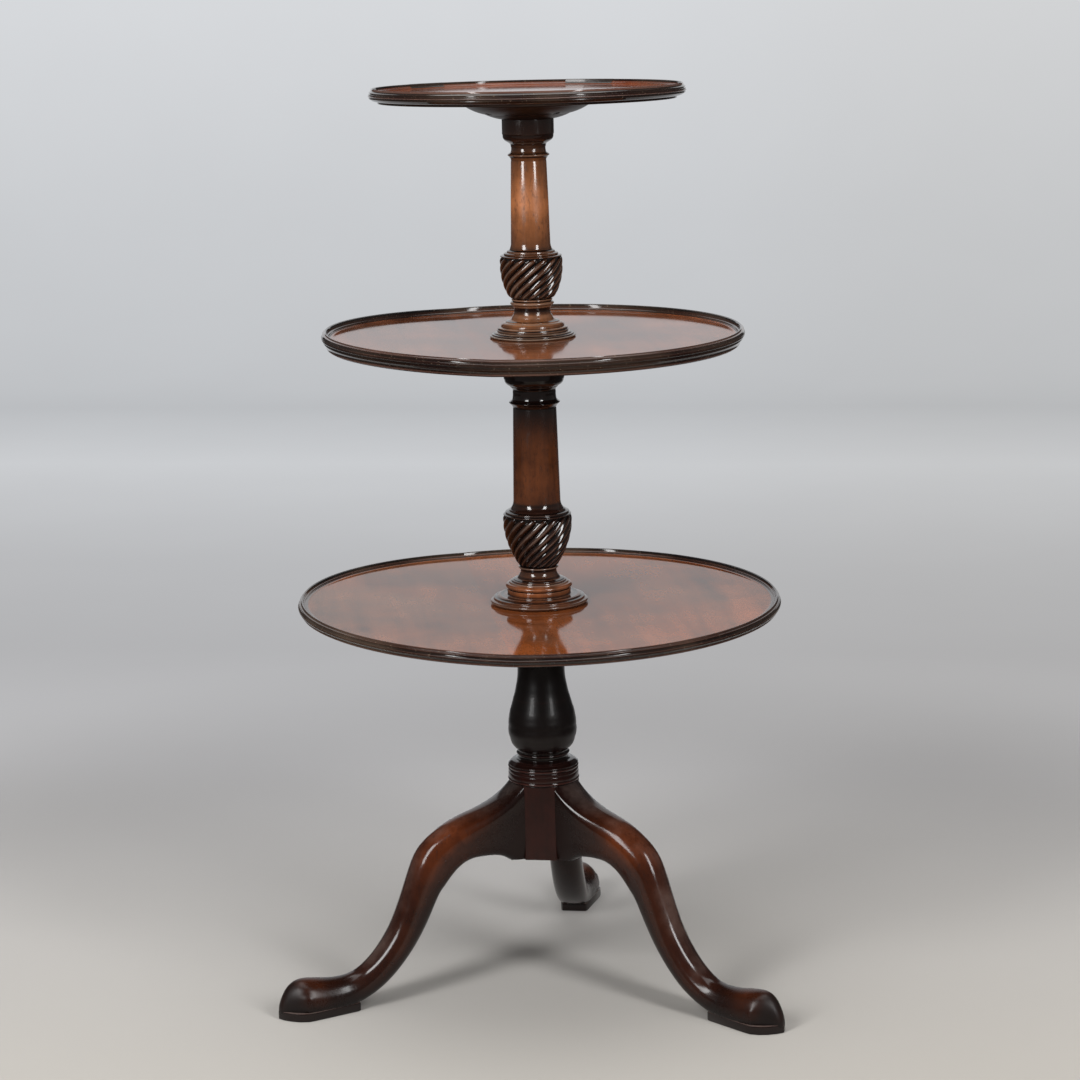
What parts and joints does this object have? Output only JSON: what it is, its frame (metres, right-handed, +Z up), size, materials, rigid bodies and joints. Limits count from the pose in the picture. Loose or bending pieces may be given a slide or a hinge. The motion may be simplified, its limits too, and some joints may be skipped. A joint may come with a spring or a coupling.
{
  "type": "dumbwaiter table",
  "caption": "Round tiered serving table: dished trays that revolve on a turned and carved wooden column, over a tripod of cabriole legs.",
  "frame": {"origin": "middle of the footprint at floor level; the column stands 29.75 mm from it towards -Y", "axes": "+Z up along the column; +Y is the direction that one leg points in, away from the viewer of the picture"},
  "size_m": [0.6248, 0.6595, 1.127],
  "materials": {
    "mahogany": "dark polished mahogany",
    "dark_mahogany": "dark polished mahogany, old repair",
    "iron": "wrought iron, blackened",
    "steel": "dull steel screws"
  },
  "bodies": {
    "base": {"base_pillar": "mahogany", "leg_rear": "mahogany", "leg_left": "mahogany", "leg_right": "mahogany", "iron_brace": "iron", "brace_screws": "steel", "middle_column": "mahogany", "top_column": "mahogany"},
    "bottom_tier": {"bottom_tray_main_board": "mahogany", "bottom_tray_side_board": "mahogany", "bottom_boss": "mahogany", "bottom_boss_screws": "steel"},
    "middle_tier": {"middle_tray_main_board": "mahogany", "middle_tray_side_board": "mahogany", "middle_boss": "mahogany", "middle_boss_screws": "steel"},
    "top_tier": {"top_tray": "mahogany", "top_rim_left_repair": "dark_mahogany", "top_rim_right_repair": "dark_mahogany", "top_boss": "mahogany", "top_boss_screws": "steel"}
  },
  "joints": [
    {"name": "bottom_tier_spin", "type": "hinge", "parent": "base", "child": "bottom_tier", "pos_m": [0, -0.02975, 0.469], "axis": [0, 0, 1], "continuous": true},
    {"name": "middle_tier_spin", "type": "hinge", "parent": "base", "child": "middle_tier", "pos_m": [0, -0.02975, 0.7985], "axis": [0, 0, 1], "continuous": true},
    {"name": "top_tier_spin", "type": "hinge", "parent": "base", "child": "top_tier", "pos_m": [0, -0.02975, 1.098], "axis": [0, 0, 1], "continuous": true}
  ]
}
